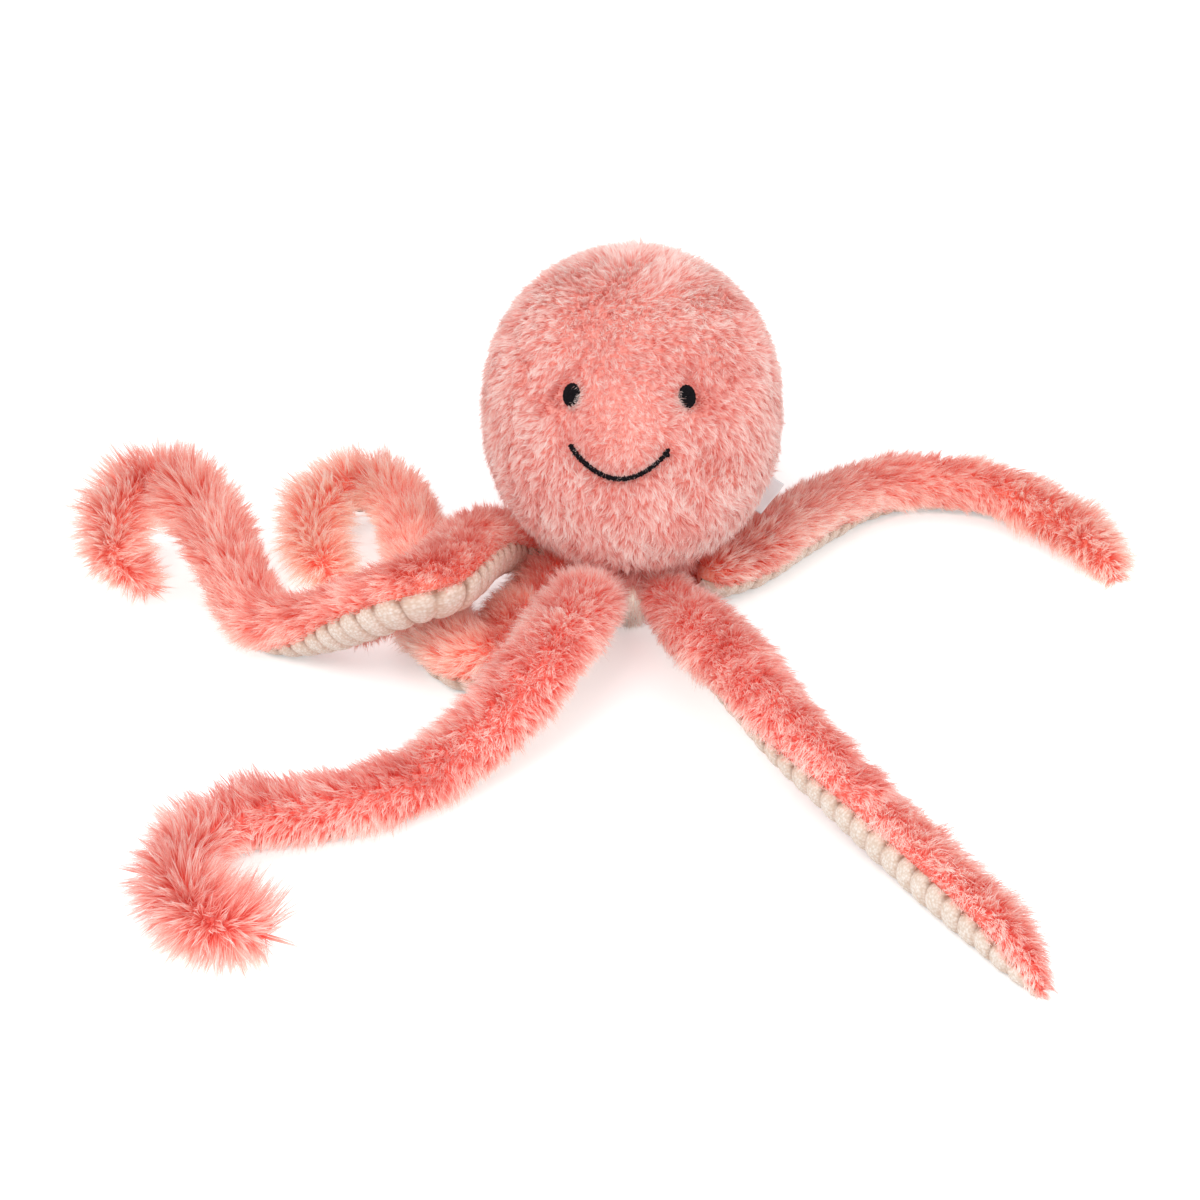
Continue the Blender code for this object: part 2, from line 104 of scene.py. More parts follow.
# Where each tentacle's root sits round the base, in degrees, and the path that it follows from
# there: x and y in percent of the spread, height in percent of the layer that one lying tentacle
# takes up, and twist in degrees
tentacles = {
    "front_right": Tentacle(-68, [
        (10, -25, 15, 0), (15.5, -38, 30, -5), (20.5, -51, 35, -25), (26, -63, 30, -47),
        (32, -72.5, 20, -63), (37.5, -81, 10, -73), (43, -89, 0, -77), (48, -97.5, 0, -77),
        (53, -106, 0, -72), (57, -114, 0, -66),
    ]),
    "front_left": Tentacle(-114, [
        (-7.5, -23.5, 45, 0), (-11.5, -36, 60, 0), (-16, -47, 55, 0), (-20.5, -54, 33, 0),
        (-26, -60, 15, 0), (-33, -67, 0, 0), (-42, -73.5, 0, 0), (-53, -77, 0, 0), (-62, -79, 0, 10),
        (-67.5, -85, 0, 20), (-68.5, -94, 0, 30), (-64, -101, 0, 30), (-57, -102, 0, 30),
    ]),
    "left_front": Tentacle(-150, [
        (-17.5, -16, 0, 0), (-20.5, -24.5, 0, 20), (-22.5, -31.5, 0, 35), (-26, -34.5, 0, 35),
        (-31, -31, 0, 20), (-34.5, -23, 0, 0), (-37, -14, 0, 0), (-39, -4, 0, 0), (-40.5, 6, 10, 0),
        (-43, 15, 25, 10), (-48, 21, 35, 15), (-54.5, 21.5, 40, 15), (-59, 16, 30, 15),
        (-59.5, 8, 15, 10), (-55.5, 1, 0, 0),
    ]),
    "left": Tentacle(168, [
        (-23.5, -3.5, 50, 55), (-27.5, -13, 79, 62), (-30, -23.5, 102, 64), (-32.5, -31.5, 118, 64),
        (-37.5, -34.5, 119, 64), (-44, -33, 89, 60), (-52, -28, 40, 48), (-59, -24, 10, 25),
        (-65.5, -20, 0, 0), (-70, -13, 15, 0), (-74.5, -4, 45, 0), (-79, 4, 75, 0), (-84.5, 10, 95, 0),
        (-90.5, 9.5, 100, 0), (-94.5, 3, 80, 0), (-94, -4, 50, 0), (-89.5, -5, 20, 0),
    ]),
    "back_left": Tentacle(124, [
        (-14.5, 26, 0, 0), (-18, 40, 10, 0), (-20, 55, 15, 10), (-20.5, 70, 10, 20), (-19, 84, 0, 20),
        (-16, 96, 0, 10), (-13, 106, 0, 0),
    ]),
    "back": Tentacle(80, [
        (2, 32, 8, 0), (0, 47, 18, 0), (-1, 62, 13, 0), (1, 77, 0, 0), (3, 90, 0, 0), (2, 103, 0, 0),
        (3, 115, 0, 0),
    ]),
    "back_right": Tentacle(32, [
        (19, 24, 0, 0), (21.5, 38, 10, 0), (22, 53, 20, -10), (21.5, 68, 15, -20), (22.5, 83, 0, -20),
        (22, 97, 0, -10), (19.5, 109, 0, 0),
    ]),
    "right": Tentacle(-18, [
        (21.5, 0, 5, -30), (28, 8, 5, -35), (36, 17, 5, -30), (44, 25, 5, -15), (53, 30, 5, 0),
        (63, 30, 5, 0), (72, 27, 5, 0), (81, 19, 0, 0), (87, 10, 0, 0), (90, 3, 0, 0),
    ]),
}

# The tuft behind the crown, and the face and the label where they differ from the solids. Beside each
# eye the pile is shorter and painted with shade for the hollow there, at places given as a rise above it
# and a share of its angle
crown_tuft_height = 0.1710
crown_tuft_angle = 176.0
muzzle_angle = -4.0
muzzle_rise = 0.0024
muzzle_radius = 0.0215
eye_hollow = 0.0042
eye_hollow_radius = 0.0085
hollow_pile = ((0.0065, 1.15), (0.0, 1.30), (-0.0050, 1.36))
mouth_roundness = 0.80
mouth_stitch_pitch = 0.0011
mouth_tick_half = 0.0026
eye_stitch_pitch = 0.00075
eye_stitch_height = 0.00016
label_show = 0.0035
label_extra = 0.0040
ribbon_wall = 0.0003

# The cloth and its ribs
cloth_depth = 0.0020
head_cloth_depth = cloth_depth * 0.8
cloth_floor = 0.0003
cloth_rib_pitch = 0.0109
rib_depth = 0.0027
rib_rise = 0.0007
rib_variation = 0.0003
edge_tuck = 0.0014
base_rib_pitch = 0.0130
cap_angles = (86.0, 72.0, 54.0, 36.0, 18.0)
cap_rows = len(cap_angles)

# Pile lengths and strand widths
head_pile = 0.0070
neck_pile = 0.0110
tentacle_pile = 0.0120
longest_pile = 0.0290
strand_floor = 0.0002
head_strand_width = 0.00050
muzzle_thinning = 0.00014
fringe_strand_width = 0.00040
tentacle_strand_width = 0.00058
cream_strand_width = 0.00060

# Strands in a tuft and the tuft's radius, then how many tufts there are. More grow on the last rows
# of a tentacle's cloth, as many times per_rib as tip_crowding says
head_tuft = (6, 0.0015)
tentacle_tuft = (7, 0.0022)
cream_tuft = (6, 0.0018)
head_front_tufts = 10500
head_back_tufts = 9000
cream_tufts = 190
eye_fringe_tufts = 34
mouth_fringe_steps = 60
tip_rows = 16
tip_crowding = 2.2

# How a tentacle's pile grows. per_rib is its tufts for each rib's length, lay how far they lean over
# in radians, trim how much shorter they are at the root, fluff how much longer towards the tip and
# tassel at the very end, where sweep is the way they are brushed. tip_shade and low_shade are added
# to their shade towards the tip and up to the middle.
plain_pile = {
    "per_rib": 195, "lay": 0.80, "trim": 0.12, "fluff": 0.20, "tassel": 0.0,
    "sweep": (0.0, 0.0, 0.0), "tip_shade": 0.10, "low_shade": 0.0,
}
own_pile = {
    "front_right": {"lay": 1.02, "trim": 0.46, "tassel": -0.40, "sweep": (0.1, -0.6, -1.0),
                    "low_shade": 0.06},
    "front_left": {"lay": 0.66, "trim": 0.46, "fluff": 0.60, "tassel": 0.70, "sweep": (1.0, 0.25, 0.25),
                   "tip_shade": -0.08, "low_shade": 0.07},
    # left_front's tip_shade paints its curl paler: painted light where the curl lies in shade
    "left_front": {"fluff": 0.60, "sweep": (1.0, -0.2, 0.2), "tip_shade": 0.30, "low_shade": 0.06},
    "left": {"fluff": 0.72, "tassel": -0.20, "sweep": (1.0, 0.0, 0.4), "low_shade": -0.26},
    "back_left": {"per_rib": 140},
    "back": {"per_rib": 140},
    "back_right": {"per_rib": 140},
    "right": {"lay": 0.92, "fluff": 0.35, "tip_shade": 0.32},
}


# Small numeric helpers

def unit(vectors):
    return vectors / np.maximum(np.linalg.norm(vectors, axis=-1, keepdims=True), 1e-12)


def smooth_step(value, low, high):
    """0 up to low and 1 from high on, with a smooth rise between them."""
    share = np.clip((value - low) / (high - low), 0.0, 1.0)
    return share * share * (3.0 - 2.0 * share)


def smooth_fall(value, low, high):
    """1 up to low and 0 from high on."""
    return smooth_step(-value, -high, -low)


def nearness(distance, radius, power=2):
    """1 at no distance, falling smoothly to about 0 past the radius."""
    return np.exp(-(distance / radius) ** power)


def turned(ahead, side, angle):
    """Directions turned from ahead towards side, each by its own angle."""
    return ahead * np.cos(angle)[:, None] + side * np.sin(angle)[:, None]


def smooth_curve(points, samples):
    """Points along a Catmull-Rom curve through rows with any number of columns."""
    rows = np.array(points, float)
    ends = np.vstack([rows[:1], rows, rows[-1:]])
    t = (np.arange(samples) / samples)[:, None]
    places = []
    for b, a, c, d in zip(ends, ends[1:], ends[2:], ends[3:]):
        places.append(0.5 * (2.0 * a + (c - b) * t + (2.0 * b - 5.0 * a + 4.0 * c - d) * t ** 2
                             + (3.0 * a - b - 3.0 * c + d) * t ** 3))
    return np.vstack(places + [rows[-1:]])


def waves(places, length, count, rng):
    """A smooth random value, about -1 to 1, that varies over a given length."""
    total = np.zeros(len(places))
    for _ in range(count):
        heading = unit(rng.normal(size=3)) * rng.uniform(0.7, 1.4) * 2.0 * math.pi / length
        total += np.sin(places @ heading + rng.uniform(0.0, 2.0 * math.pi))
    return total / math.sqrt(count * 0.5) * 0.6


# Materials

coral_sheen = (1.0, 0.86, 0.82)
cream_sheen = (1.0, 0.93, 0.86)


def set_inputs(node, values):
    for name, value in values.items():
        node.inputs[name].default_value = value


class Look:
    """A material in the making, with the groups of nodes that several materials share."""

    def __init__(self, name):
        self.material = bpy.data.materials.new(name)
        self.material.use_nodes = True
        self.nodes = self.material.node_tree.nodes
        self.link = self.material.node_tree.links.new
        self.shader = self.nodes["Principled BSDF"]

    def node(self, kind, **values):
        made = self.nodes.new(kind)
        set_inputs(made, values)
        return made

    def noise(self, scale, detail):
        """Noise from 0 to 1 that is fixed to the piece."""
        place = self.node("ShaderNodeTexCoord")
        noise = self.node("ShaderNodeTexNoise", Scale=scale, Detail=detail)
        self.link(place.outputs["Object"], noise.inputs["Vector"])
        return noise.outputs["Fac"]

    def attribute(self, name, output):
        """A value that the mesh stores for each point."""
        stored = self.node("ShaderNodeAttribute")
        stored.attribute_name = name
        return stored.outputs[output]

    def ramp(self, value, stops):
        """The colour for a value, blended between stops that each give a value and a colour."""
        ramp = self.node("ShaderNodeValToRGB")
        elements = ramp.color_ramp.elements
        for index in (0, -1):
            elements[index].position = stops[index][0]
            elements[index].color = (*stops[index][1], 1.0)
        for place, colour in stops[1:-1]:
            elements.new(place).color = (*colour, 1.0)
        self.link(value, ramp.inputs["Fac"])
        return ramp.outputs["Color"]

    def multiply(self, first, second):
        mix = self.node("ShaderNodeMix", Factor=1.0)
        mix.data_type = "RGBA"
        mix.blend_type = "MULTIPLY"
        self.link(first, mix.inputs["A"])
        self.link(second, mix.inputs["B"])
        return mix.outputs["Result"]

    def bump(self, height, strength, distance, invert=False):
        bump = self.node("ShaderNodeBump", Strength=strength, Distance=distance)
        bump.invert = invert
        self.link(height, bump.inputs["Height"])
        self.link(bump.outputs["Normal"], self.shader.inputs["Normal"])

    def surface(self, colour, roughness, specular=0.5, sheen=0.0, sheen_roughness=0.5, sheen_tint=white):
        """Gives the shader its colour, from another node, and its shine."""
        self.link(colour, self.shader.inputs["Base Color"])
        set_inputs(self.shader, {
            "Roughness": roughness, "Specular IOR Level": specular, "Sheen Weight": sheen,
            "Sheen Roughness": sheen_roughness, "Sheen Tint": (*sheen_tint, 1.0)})

    def output(self, shader):
        self.link(shader, self.nodes["Material Output"].inputs["Surface"])


def pile_material(name, root, middle, tip, sheen, see_through):
    """Pile deep at each strand's root and pale at its tip: partly its dye, partly painted shade deep
    in the pile, which throws no shadow. Tufts differ in shade, by random tone and by painted shade
    and painted light.

    The strands are thin enough for some light to come through them.
    """
    look = Look(name)
    place = look.node("ShaderNodeUVMap")
    place.uv_map = "OFBake"
    split = look.node("ShaderNodeSeparateXYZ")
    look.link(place.outputs["UV"], split.inputs["Vector"])
    # The deep roots are partly painted shade for the depth of the pile
    along = look.ramp(split.outputs["X"], [(0.06, root), (0.45, middle), (0.95, tip)])
    # The shade value: random tone, with painted shade and painted light added where the tufts are made
    shade = look.ramp(split.outputs["Y"], [
        (0.0, (0.88, 0.50, 0.47)), (0.26, (0.96, 0.76, 0.74)), (0.5, white), (1.0, (1.03, 1.26, 1.30))])
    dyed = look.multiply(along, shade)
    look.surface(dyed, 0.75, 0.25, sheen, 0.45, coral_sheen)
    through = look.node("ShaderNodeBsdfTranslucent")
    look.link(dyed, through.inputs["Color"])
    both = look.node("ShaderNodeMixShader", Fac=see_through)
    look.link(look.shader.outputs["BSDF"], both.inputs[1])
    look.link(through.outputs["BSDF"], both.inputs[2])
    look.output(both.outputs["Shader"])
    return look.material


def nap_material(name, deep, pale):
    """The cloth that the pile grows from, mottled where it shows between the strands."""
    look = Look(name)
    nap = look.noise(650.0, 4.0)
    colour = look.ramp(nap, [(0.38, deep), (0.62, pale)])
    look.surface(colour, 0.85, 0.15, 0.3, 0.45, coral_sheen)
    look.bump(nap, 0.6, 0.0005)
    return look.material


def corduroy_material(name):
    """Cream corduroy with a fine knitted grain, and painted shade from the stored groove value: down
    in the grooves and, on the tentacles, along the edges under the pile.
    """
    look = Look(name)
    grooves = look.ramp(look.attribute("groove", "Fac"), [
        (0.0, (0.97, 0.92, 0.87)), (0.40, (0.90, 0.77, 0.69)), (1.0, (0.40, 0.23, 0.17))])
    blotches = look.ramp(look.noise(220.0, 3.0), [(0.3, (0.94, 0.92, 0.90)), (0.7, white)])
    loops_per_metre = look.node("ShaderNodeVectorMath")
    loops_per_metre.operation = "MULTIPLY"
    loops_per_metre.inputs[1].default_value = (800.0, 620.0, 1.0)
    look.link(look.attribute("weave", "Vector"), loops_per_metre.inputs[0])
    knit = look.node("ShaderNodeTexVoronoi", Scale=1.0, Randomness=0.72)
    look.link(loops_per_metre.outputs["Vector"], knit.inputs["Vector"])
    dots = look.ramp(knit.outputs["Distance"], [(0.15, white), (0.75, (0.80, 0.69, 0.61))])
    colour = look.multiply(look.multiply(grooves, blotches), dots)
    look.surface(colour, 0.90, 0.20, 0.25, 0.50, cream_sheen)
    look.bump(knit.outputs["Distance"], 0.8, 0.0005, invert=True)
    return look.material


def thread_material(name):
    """Black embroidery thread, whose fine twist catches a little light."""
    look = Look(name)
    twist = look.noise(1600.0, 2.0)
    colour = look.ramp(twist, [(0.35, (0.004, 0.003, 0.004)), (0.75, (0.013, 0.010, 0.013))])
    look.surface(colour, 0.70, 0.07)
    look.bump(twist, 0.5, 0.0002)
    return look.material


def ribbon_material(name):
    """White woven ribbon with fine cross ribs."""
    look = Look(name)
    place = look.node("ShaderNodeTexCoord")
    weave = look.node("ShaderNodeTexWave", Scale=480.0, Distortion=0.6)
    weave.bands_direction = "Z"
    look.link(place.outputs["Object"], weave.inputs["Vector"])
    colour = look.ramp(weave.outputs["Fac"], [(0.0, (0.74, 0.74, 0.75)), (1.0, (0.88, 0.88, 0.89))])
    look.surface(colour, 0.55, sheen=0.15)
    look.bump(weave.outputs["Fac"], 0.4, 0.0001)
    return look.material


# Meshes

def add_object(name, data):
    made = bpy.data.objects.new(name, data)
    bpy.context.scene.collection.objects.link(made)
    return made


def packed(values, kind=np.float32):
    """The values in one flat row, as Blender takes them."""
    return np.ascontiguousarray(values, kind).ravel()


def new_object(name, points, triangles, material, uv=None):
    """An object from arrays of points and triangles. uv holds a pair for each triangle corner."""
    mesh = bpy.data.meshes.new(name)
    mesh.vertices.add(len(points))
    mesh.vertices.foreach_set("co", packed(points))
    mesh.loops.add(triangles.size)
    mesh.loops.foreach_set("vertex_index", packed(triangles, np.int32))
    mesh.polygons.add(len(triangles))
    mesh.polygons.foreach_set("loop_start", packed(np.arange(len(triangles)) * 3, np.int32))
    if uv is not None:
        layer = mesh.uv_layers.new(name="OFBake")
        layer.uv.foreach_set("vector", packed(uv))
    mesh.update(calc_edges=True)
    mesh.validate()
    mesh.shade_smooth()
    mesh.materials.append(material)
    return add_object(name, mesh)


def grid_triangles(rows, columns, closed=False):
    """Triangles over a grid of points. Where it is closed, the last column joins the first."""
    r = np.arange(rows - 1)[:, None]
    c = np.arange(columns if closed else columns - 1)[None, :]
    following = (c + 1) % columns
    a, b = r * columns + c, r * columns + following
    d, e = (r + 1) * columns + c, (r + 1) * columns + following
    return np.concatenate([np.stack([a, b, e], -1).reshape(-1, 3), np.stack([a, e, d], -1).reshape(-1, 3)])


def grid_object(name, grid, material):
    return new_object(name, grid.reshape(-1, 3), grid_triangles(*grid.shape[:2]), material)


def thicken(piece, thickness, offset):
    """Gives a sheet its thickness, to both sides of it or to one."""
    wall = piece.modifiers.new("wall", "SOLIDIFY")
    wall.thickness = thickness
    wall.offset = offset


def grid_normals(grid):
    """The outward normals of a grid of points and the directions along its columns."""
    along = np.gradient(grid, axis=0)
    across = np.gradient(grid, axis=1)
    return unit(np.cross(across, along)), unit(along)


def scatter(grid, count, rng):
    """Even random places on a grid: their points, outward normals, directions and grid indices."""
    normals, along = grid_normals(grid)
    first = grid[1:, :-1] - grid[:-1, :-1]
    second = grid[:-1, 1:] - grid[:-1, :-1]
    area = np.linalg.norm(np.cross(first, second), axis=-1)
    total = np.cumsum(area.ravel())
    draws = (np.arange(count) + rng.random(count)) / count * total[-1]
    cell = np.minimum(np.searchsorted(total, draws), total.size - 1)
    i, j = np.divmod(cell, area.shape[1])
    s, t = rng.random(count), rng.random(count)

    def between(field):
        s1, t1 = s[:, None], t[:, None]
        return (field[i, j] * (1 - s1) * (1 - t1) + field[i + 1, j] * s1 * (1 - t1)
                + field[i, j + 1] * (1 - s1) * t1 + field[i + 1, j + 1] * s1 * t1)

    return between(grid), unit(between(normals)), unit(between(along)), i + s, j + t


def strands(place, normal, comb, length, lean, shade, width, per_tuft, tuft_radius, rng):
    """Points, triangles and map places of tufts of strands, one tuft for each place.

    A strand is a thin tapering blade with one bend. It rises steeply and then lies over along
    comb, and its tip is drawn in towards the middle of its tuft. The map places hold how far along
    the strand a point is, and the strand's shade.
    """
    tufts = len(place)
    count = tufts * per_tuft
    pick = np.repeat(np.arange(tufts), per_tuft)
    n, d = normal[pick], comb[pick]
    d = unit(d - n * np.sum(d * n, axis=1, keepdims=True))
    side = np.cross(n, d)
    turn = rng.uniform(0.0, 2.0 * math.pi, count)
    far = tuft_radius * np.sqrt(rng.random(count))
    off = d * (far * np.cos(turn))[:, None] + side * (far * np.sin(turn))[:, None]
    root = place[pick] + off
    size = length[pick] * rng.uniform(0.72, 1.12, count)
    bend = rng.normal(0.0, 0.16, count)
    d = turned(d, side, bend)
    flat = np.clip(lean[pick] * rng.uniform(0.90, 1.18, count), 0.05, 1.45)
    middle = root + turned(n, d, lean[pick] * 0.45) * (size * 0.48)[:, None] - off * 0.15
    tip = middle + turned(n, d, flat) * (size * 0.55)[:, None] - off * 0.65
    heading = unit(middle - root)
    across = unit(np.cross(heading, n))
    across = turned(across, np.cross(heading, across), rng.uniform(-0.9, 0.9, count))
    half = (width[pick] * rng.uniform(0.75, 1.25, count))[:, None] * 0.5 * across
    points = np.stack([root - half, root + half, middle - half * 0.85, middle + half * 0.85, tip], axis=1)
    points[:, :, 2] = np.maximum(points[:, :, 2], strand_floor)
    blade = np.array([[0, 1, 3], [0, 3, 2], [2, 3, 4]])
    triangles = (np.arange(count) * 5)[:, None, None] + blade[None]
    v = np.clip(shade[pick] + rng.normal(0.0, 0.14, count), 0.03, 0.95)
    u = np.array([0.02, 0.02, 0.5, 0.5, 0.97])
    v_step = np.array([-0.01, 0.01, -0.01, 0.01, 0.0])
    uv = np.stack([np.broadcast_to(u, (count, 5)), v[:, None] + v_step[None]], axis=-1)
    return points.reshape(-1, 3), triangles.reshape(-1, 3), uv[:, blade].reshape(-1, 2)


def pile(name, tufts, material):
    """The strands. Light passes between and through real ones, so they throw no shadow."""
    points, triangles, uv = tufts
    made = new_object(name, points, triangles, material, uv)
    made.visible_shadow = False
    return made


# Head shape

def head_profile():
    """The head's outline as (radius, height) rows, from the crown to the bottom rim."""
    rise = head_height - hub_height
    rows = [(head_half_width * w, hub_height + rise * h) for w, h in head_outline_shares]
    return np.array(rows + [(hub_radius, hub_height), (hub_radius, base_thickness + seam_gap)])


def profile_radius(height):
    rows = head_profile()[::-1]
    return np.interp(height, rows[:, 1], rows[:, 0])


def lean_at(height):
    """How far back the head's middle lies at a height."""
    return head_lean * np.clip((height - hub_height) / (head_height - hub_height), 0.0, 1.0)


def head_point(height, degrees, proud=0.0):
    """A point that stands proud of the head, and the head's outward direction there."""
    turn = math.radians(degrees)
    outward = np.array([math.sin(turn), -math.cos(turn), 0.0])
    step = (head_height - hub_height) / len(head_outline_shares)
    slope = (profile_radius(height + step) - profile_radius(height - step)) / (2.0 * step)
    normal = unit(outward - upward * slope)
    place = outward * profile_radius(height) + np.array([0.0, lean_at(height), height])
    return place + normal * proud, normal


def mouth_curve(share):
    """Heights and angles along the smile, for shares of the way from its left end to its right."""
    degrees = mouth_left_angle + share * (mouth_right_angle - mouth_left_angle)
    return eye_height - mouth_drop - mouth_sag * np.sin(math.pi * share) ** mouth_roundness, degrees


def mouth_points(count):
    """The middle line of the mouth's thread and the head's outward directions along it."""
    rows = zip(*mouth_curve(np.linspace(0.0, 1.0, count)))
    pairs = [head_point(height, degrees, mouth_thread_radius + mouth_seat) for height, degrees in rows]
    return np.array([p for p, _ in pairs]), np.array([n for _, n in pairs])


def head_grid(start, end, columns):
    """The head's cloth between two angles, a little in from the solid's surface."""
    outline = smooth_curve(head_profile(), 5)
    outline[:, 0] = np.maximum(outline[:, 0], 0.0)
    ahead = np.gradient(outline, axis=0)
    out = unit(np.stack([-ahead[:, 1], ahead[:, 0]], axis=-1))
    outline = outline - out * head_cloth_depth
    outline[:, 0] = np.maximum(outline[:, 0], 0.0002)
    angle = np.radians(np.linspace(start, end, columns))
    radius, height = outline[:, :1], outline[:, 1:]
    x, y = radius * np.cos(angle), radius * np.sin(angle) + lean_at(height)
    return np.stack([x, y, np.broadcast_to(height, x.shape)], axis=-1)


def nearest(places, targets):
    """For each place, how far the nearest target is and the direction away from it."""
    offset = places[:, None, :] - targets[None, :, :]
    distance = np.linalg.norm(offset, axis=-1)
    pick = np.argmin(distance, axis=1)
    rows = np.arange(len(places))
    return distance[rows, pick], unit(offset[rows, pick])


def head_relief(grid):
    """The head's cloth pushed out at the muzzle and drawn in beside the eyes by their stitches."""
    flat = grid.reshape(-1, 3)
    muzzle, _ = head_point(eye_height - mouth_drop * 0.55, muzzle_angle)
    push = muzzle_rise * nearness(np.linalg.norm(flat - muzzle, axis=1), muzzle_radius, 4)
    for degrees in eye_angles.values():
        place, _ = head_point(eye_height + 0.003, degrees * 1.30)
        push = push - eye_hollow * nearness(np.linalg.norm(flat - place, axis=1), eye_hollow_radius)
    normals, _ = grid_normals(grid)
    return grid + normals * push.reshape(grid.shape[:2])[..., None]


def face_fringe(rng):
    """Rows of tufts that lean over the inner edges of the eyes and both edges of the mouth."""
    rows = []

    def add(height, degrees, toward, length, lean, shade):
        place, normal = head_point(height, degrees)
        turn = math.radians(degrees)
        right = np.array([math.cos(turn), math.sin(turn), 0.0])
        up = np.cross(normal, right)
        rows.append((place - normal * head_cloth_depth, normal, right * toward[0] + up * toward[1],
                     length, lean, shade, fringe_strand_width))

    radius = profile_radius(eye_height)
    for eye, (start, end) in (("eye_left", (-100.0, 5.0)), ("eye_right", (160.0, 285.0))):
        for turn in np.radians(np.linspace(start, end, eye_fringe_tufts)):
            far = rng.uniform(1.06, 1.30)
            x, z = eye_half_width * far * math.cos(turn), eye_half_height * far * math.sin(turn)
            add(eye_height + z, eye_angles[eye] + math.degrees(x / radius),
                (-math.cos(turn), -math.sin(turn)), rng.uniform(0.0044, 0.0058),
                rng.uniform(0.42, 0.68), rng.uniform(0.36, 0.60))
    heights, degrees = mouth_curve(np.linspace(0.02, 0.98, mouth_fringe_steps))
    across = np.gradient(np.radians(degrees) * radius)
    ahead = unit(np.stack([across, np.gradient(heights)], axis=-1))
    for height, angle, (dx, dz) in zip(heights, degrees, ahead):
        for side in (-1.0, 1.0):
            off = side * (mouth_thread_radius + rng.uniform(0.0001, 0.0012))
            add(height + dx * off, angle + math.degrees(-dz * off / radius),
                (dz * side + rng.normal(0.0, 0.3), -dx * side), rng.uniform(0.0042, 0.0058),
                rng.uniform(0.20, 0.56), rng.uniform(0.40, 0.62))
    return [np.array(column) for column in zip(*rows)]


def head_tufts(cloth, count, has_face, rng):
    """The head's pile, combed down and round the crown, cropped and parted round the face."""
    place, normal, along, _, _ = scatter(cloth, count, rng)
    height = place[:, 2]

    def from_points(rows):
        return nearest(place, np.array([head_point(rise, degrees)[0] for rise, degrees in rows]))

    eye_far, eye_away = from_points((eye_height, a) for a in eye_angles.values())
    label_far, label_away = from_points(
        (label_height + rise, label_angle) for rise in (-0.008, -0.004, 0.0, 0.004, 0.008))
    muzzle_far, _ = from_points([(eye_height - mouth_drop * 0.5, muzzle_angle)])
    tuft_far, _ = from_points([(crown_tuft_height, crown_tuft_angle)])
    hollow_far, _ = from_points(
        (eye_height + rise, a * wide) for a in eye_angles.values() for rise, wide in hollow_pile)
    mouth_far, mouth_away = nearest(place, mouth_points(41)[0])
    hollow = nearness(hollow_far, 0.0068)
    tuft = nearness(tuft_far, 0.0045)
    # 0 on the outer side of the nearest eye and 1 on the side towards the other
    inner = smooth_step(eye_away[:, 0] * np.where(place[:, 0] < 0.0, 1.0, -1.0), -0.1, 0.7)
    crown = smooth_step(height, head_height - 0.024, head_height - 0.001)

    turn = 0.85 * waves(place, 0.040, 6, rng) + 0.55 * waves(place, 0.013, 6, rng)
    turn += rng.normal(0.0, 0.34, len(place)) + 0.6 * crown
    comb = turned(along, np.cross(normal, along), turn)
    comb = comb + eye_away * ((1.8 - 3.6 * inner) * nearness(eye_far, 0.010))[:, None]
    comb = comb + mouth_away * (1.7 * nearness(mouth_far, 0.005))[:, None]
    comb = comb + label_away * (2.4 * nearness(label_far, 0.006))[:, None]

    length = head_pile * rng.uniform(0.80, 1.15, len(place))
    near_eye = 0.40 + 0.45 * inner
    length *= near_eye + (1.0 - near_eye) * smooth_step(eye_far, 0.0050, 0.0150)
    length *= (1.0 - 0.35 * hollow * (1.0 - inner)) * (1.0 + 0.8 * tuft)
    length *= 0.42 + 0.58 * smooth_step(mouth_far, 0.0012, 0.0075)
    length *= 0.22 + 0.78 * smooth_step(label_far, 0.0080, 0.0200)
    length *= 0.74 + 0.26 * smooth_step(muzzle_far, 0.013, 0.028)
    length *= 1.0 + 0.10 * crown + 0.25 * smooth_fall(height, hub_height, 0.060)
    length = np.where(height < hub_height, neck_pile, length)

    lean = 1.00 + 0.20 * waves(place, 0.014, 5, rng) + rng.normal(0.0, 0.13, len(place))
    lean -= 0.25 * crown + 0.5 * tuft

    shade = 0.55 + 0.12 * waves(place, 0.030, 5, rng) + 0.16 * waves(place, 0.008, 6, rng)
    shade += rng.normal(0.0, 0.16, len(place))
    # Painted shade: hollows beside the eyes, along the mouth, the lamp-lit front of the face (the muzzle is
    # a touch paler)
    shade -= (0.35 * nearness(eye_far, 0.009) + 0.70 * hollow) * (1.0 - inner)
    shade -= 0.22 * nearness(mouth_far, 0.006)
    shade += 0.03 * nearness(muzzle_far, 0.020) - 0.10 * nearness(muzzle_far, 0.050, 4)
    # Painted light on the crown, and painted shade under the chin and in the crease at the neck
    shade += 0.12 * crown - 0.30 * smooth_fall(height, hub_height, hub_height + 0.026)
    shade -= 0.30 * smooth_fall(height, hub_height - 0.004, hub_height + 0.006)

    # None grow through the stitches and the label, or where a tentacle is sewn on
    keep = (mouth_far > 0.0014) & (eye_far > eye_half_height * 0.86) & (label_far > 0.0012)
    angle = np.degrees(np.arctan2(place[:, 1], place[:, 0]))
    for spec in tentacles.values():
        apart = np.abs((angle - spec.ring_angle + 180.0) % 360.0 - 180.0)
        keep &= (height > hub_height - 0.002) | (apart > sewn_half_angle)
    width = head_strand_width - muzzle_thinning * nearness(muzzle_far, 0.026, 4)
    rows = [value[keep] for value in (place, normal, comb, length, lean, shade, width)]
    if has_face:
        rows = [np.concatenate([row, more]) for row, more in zip(rows, face_fringe(rng))]
    return strands(*rows, *head_tuft, rng)


# Tentacle shape

